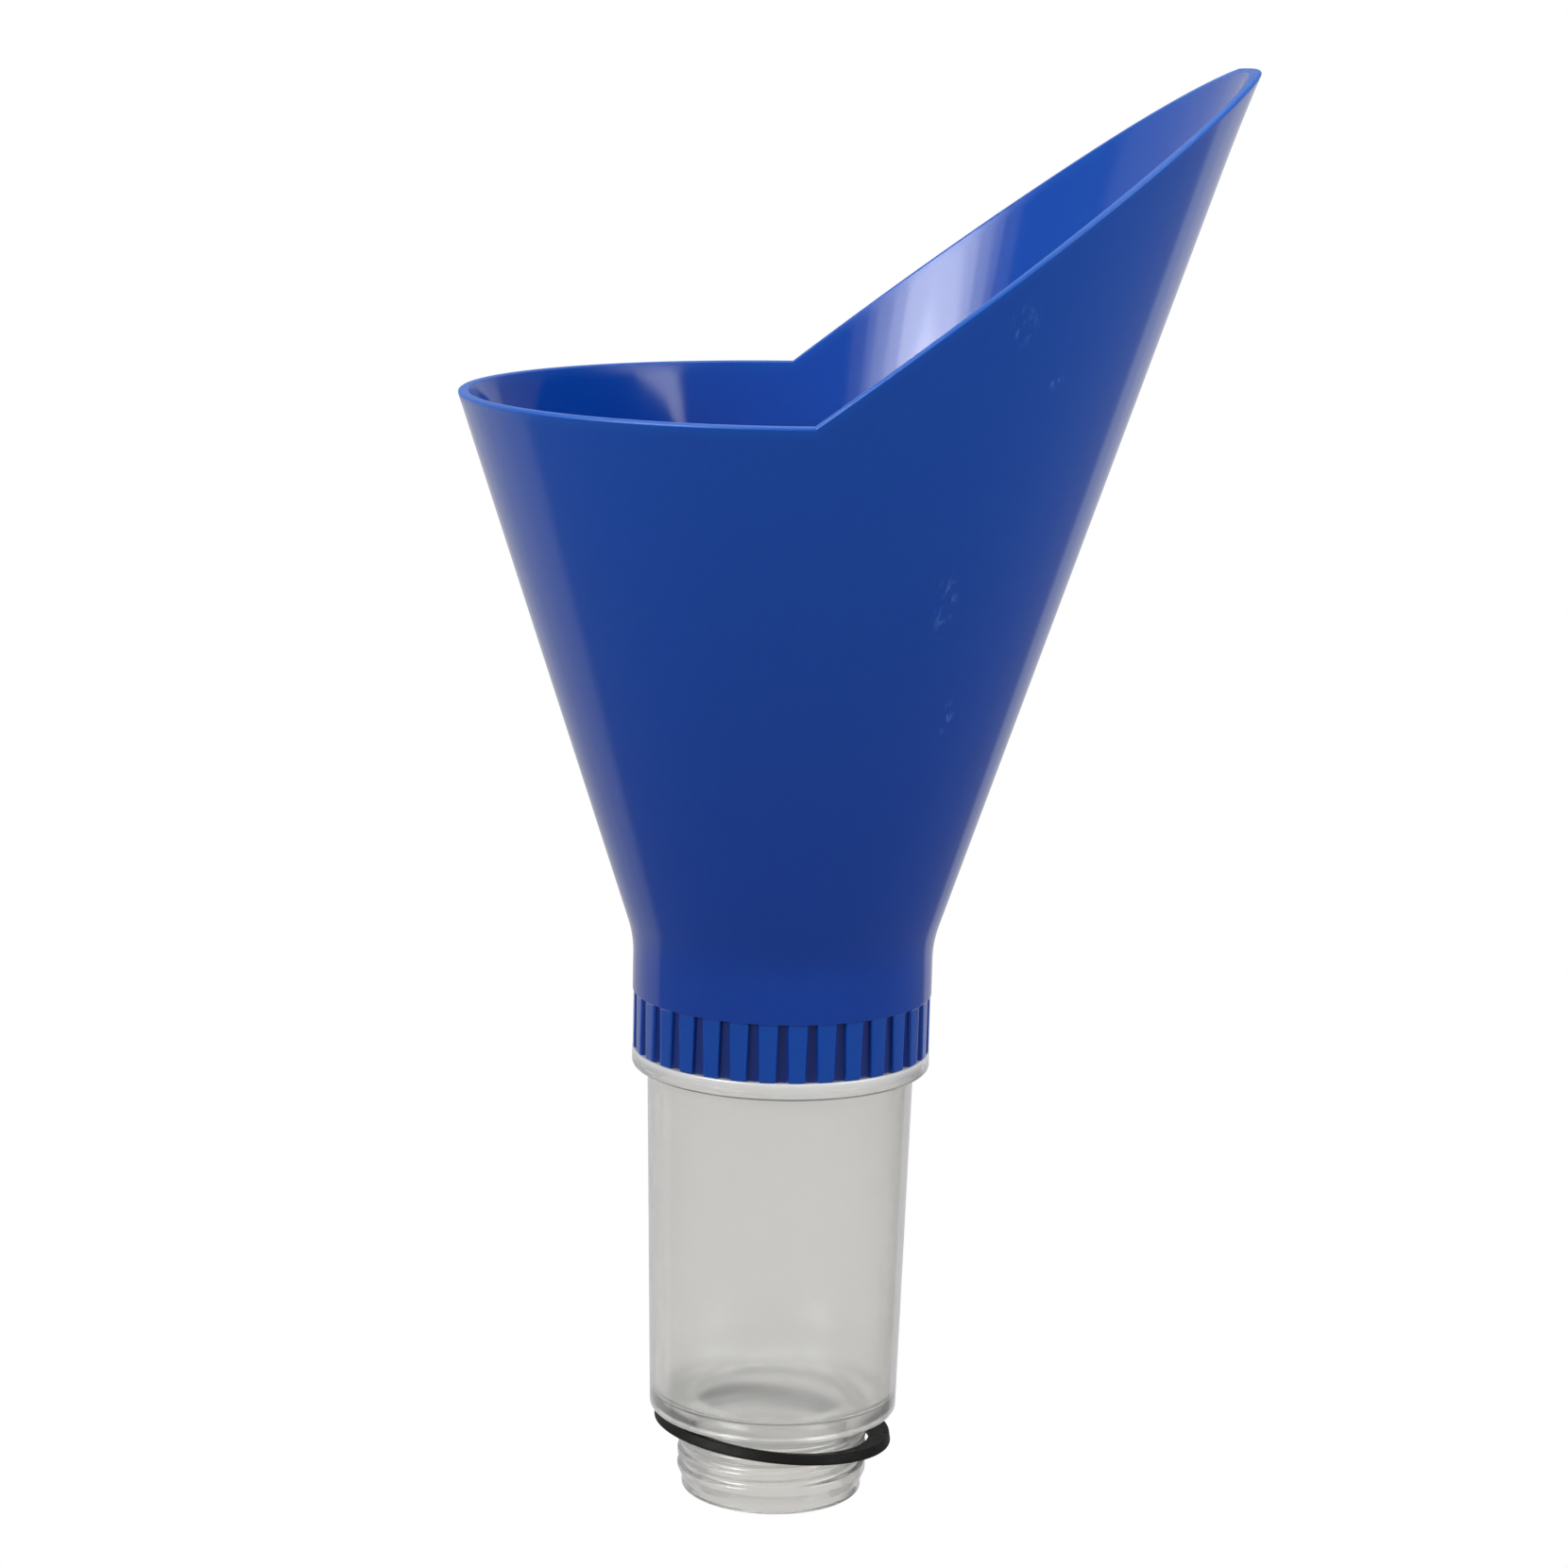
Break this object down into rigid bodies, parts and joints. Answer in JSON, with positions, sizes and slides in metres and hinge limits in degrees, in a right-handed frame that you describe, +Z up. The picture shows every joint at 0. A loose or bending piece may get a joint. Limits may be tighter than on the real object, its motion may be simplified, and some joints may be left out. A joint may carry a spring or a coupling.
{
  "type": "oil filler funnel with threaded adapter cup",
  "caption": "High-backed plastic funnel with a grooved collar screwed onto a clear adapter cup that ends in an open threaded neck with a loose cupped seal ring.",
  "frame": {"origin": "centre of the adapter cup's open lower end, on the axis", "axes": "+Z up along the axis towards the funnel's mouth, +X towards the funnel's tall side"},
  "size_m": [0.1479, 0.1306, 0.2776],
  "materials": {
    "blue_plastic": "glossy moulded, slightly translucent",
    "clear_plastic": "clear, glossy",
    "black_rubber": "matte"
  },
  "bodies": {
    "adapter": {"adapter_cup": "clear_plastic"},
    "gasket": {"joint_gasket": "black_rubber"},
    "funnel": {"funnel": "blue_plastic"},
    "seal": {"neck_seal": "black_rubber"}
  },
  "joints": [
    {"name": "gasket_lift", "type": "slide", "parent": "adapter", "child": "gasket", "axis": [0, 0, 1], "range_m": [0, 0.00901]},
    {"name": "funnel_turn", "type": "hinge", "parent": "gasket", "child": "funnel", "pos_m": [0, 0, 0.095], "axis": [0, 0, 1], "range_deg": [0, 1080]},
    {"name": "seal_slide", "type": "slide", "parent": "adapter", "child": "seal", "axis": [0, 0, 1], "range_m": [-0.0086, 0.00035]}
  ],
  "couplings": [
    {"joint": "gasket_lift", "follows": "funnel_turn", "m_per_rad": 0.00047746}
  ]
}
